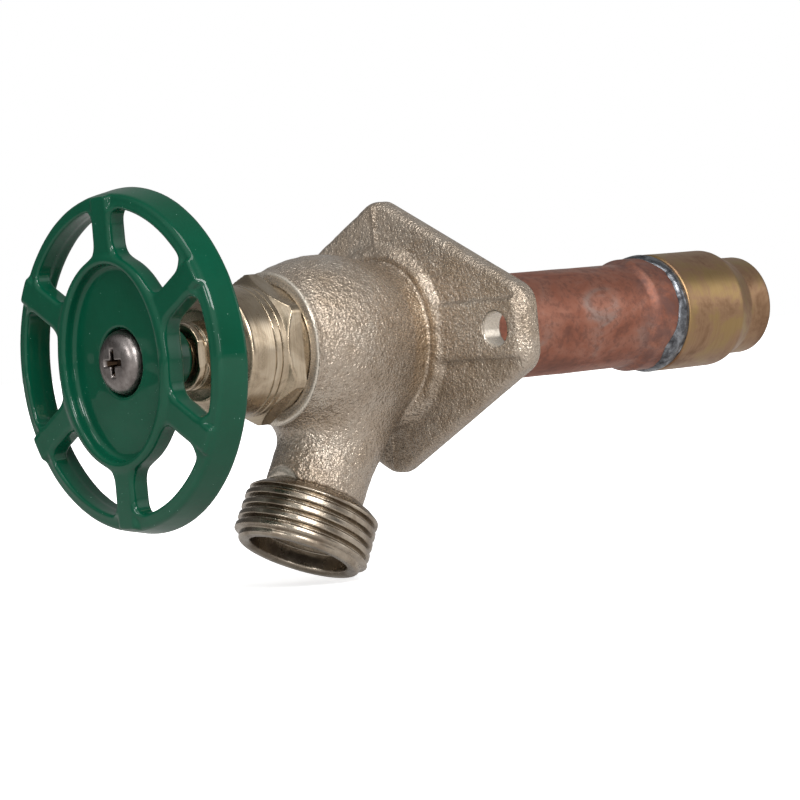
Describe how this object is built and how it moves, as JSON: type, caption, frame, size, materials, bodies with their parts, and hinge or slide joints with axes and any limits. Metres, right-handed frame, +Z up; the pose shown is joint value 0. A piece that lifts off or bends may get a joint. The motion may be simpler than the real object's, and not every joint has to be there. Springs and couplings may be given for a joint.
{
  "type": "hose bib",
  "caption": "Frost-free hose bib: wheel handle, turned bonnet, cast body with threaded spout and diamond wall flange, copper tube and brass inlet end.",
  "frame": {"origin": "on the stem axis, at the wall face of the flange", "axes": "+Y along the stem axis from the handle into the wall, +Z up, +X to the right as seen from the handle"},
  "size_m": [0.084, 0.1736, 0.0799],
  "materials": {
    "green_enamel": "glossy enamel on a cast wheel",
    "stainless": "satin",
    "turned_brass": "machined, pale",
    "cast_body": "sand-cast, satin plated, sparkling grain",
    "copper": "oxidised copper, mottled",
    "solder": "dull solder",
    "dull_brass": "dull, heat-stained",
    "black_rubber": "matte",
    "packing": "graphited packing"
  },
  "bodies": {
    "valve": {"valve_body": "cast_body", "bonnet": "turned_brass", "bonnet_o_ring": "black_rubber", "packing_nut": "turned_brass", "packing_rings": "packing", "packing_washer": "turned_brass", "copper_tube": "copper", "body_solder_ring": "solder", "inlet_solder_ring": "solder", "inlet_fitting": "dull_brass"},
    "plunger_set": {"plunger": "turned_brass", "seat_washer": "black_rubber", "washer_screw": "stainless"},
    "stem_set": {"handle_wheel": "green_enamel", "handle_screw": "stainless", "stem": "turned_brass", "stem_rod": "turned_brass", "rod_pin": "stainless", "stem_o_ring": "black_rubber", "plunger_clip": "stainless"}
  },
  "joints": [
    {"name": "plunger_travel", "type": "slide", "parent": "valve", "child": "plunger_set", "axis": [0, -1, 0], "range_m": [0, 0.00635]},
    {"name": "handle_turn", "type": "hinge", "parent": "plunger_set", "child": "stem_set", "pos_m": [0, 0, 0], "axis": [0, 1, 0], "range_deg": [-720, 0]}
  ],
  "couplings": [
    {"joint": "plunger_travel", "follows": "handle_turn", "m_per_rad": -0.00050532}
  ]
}
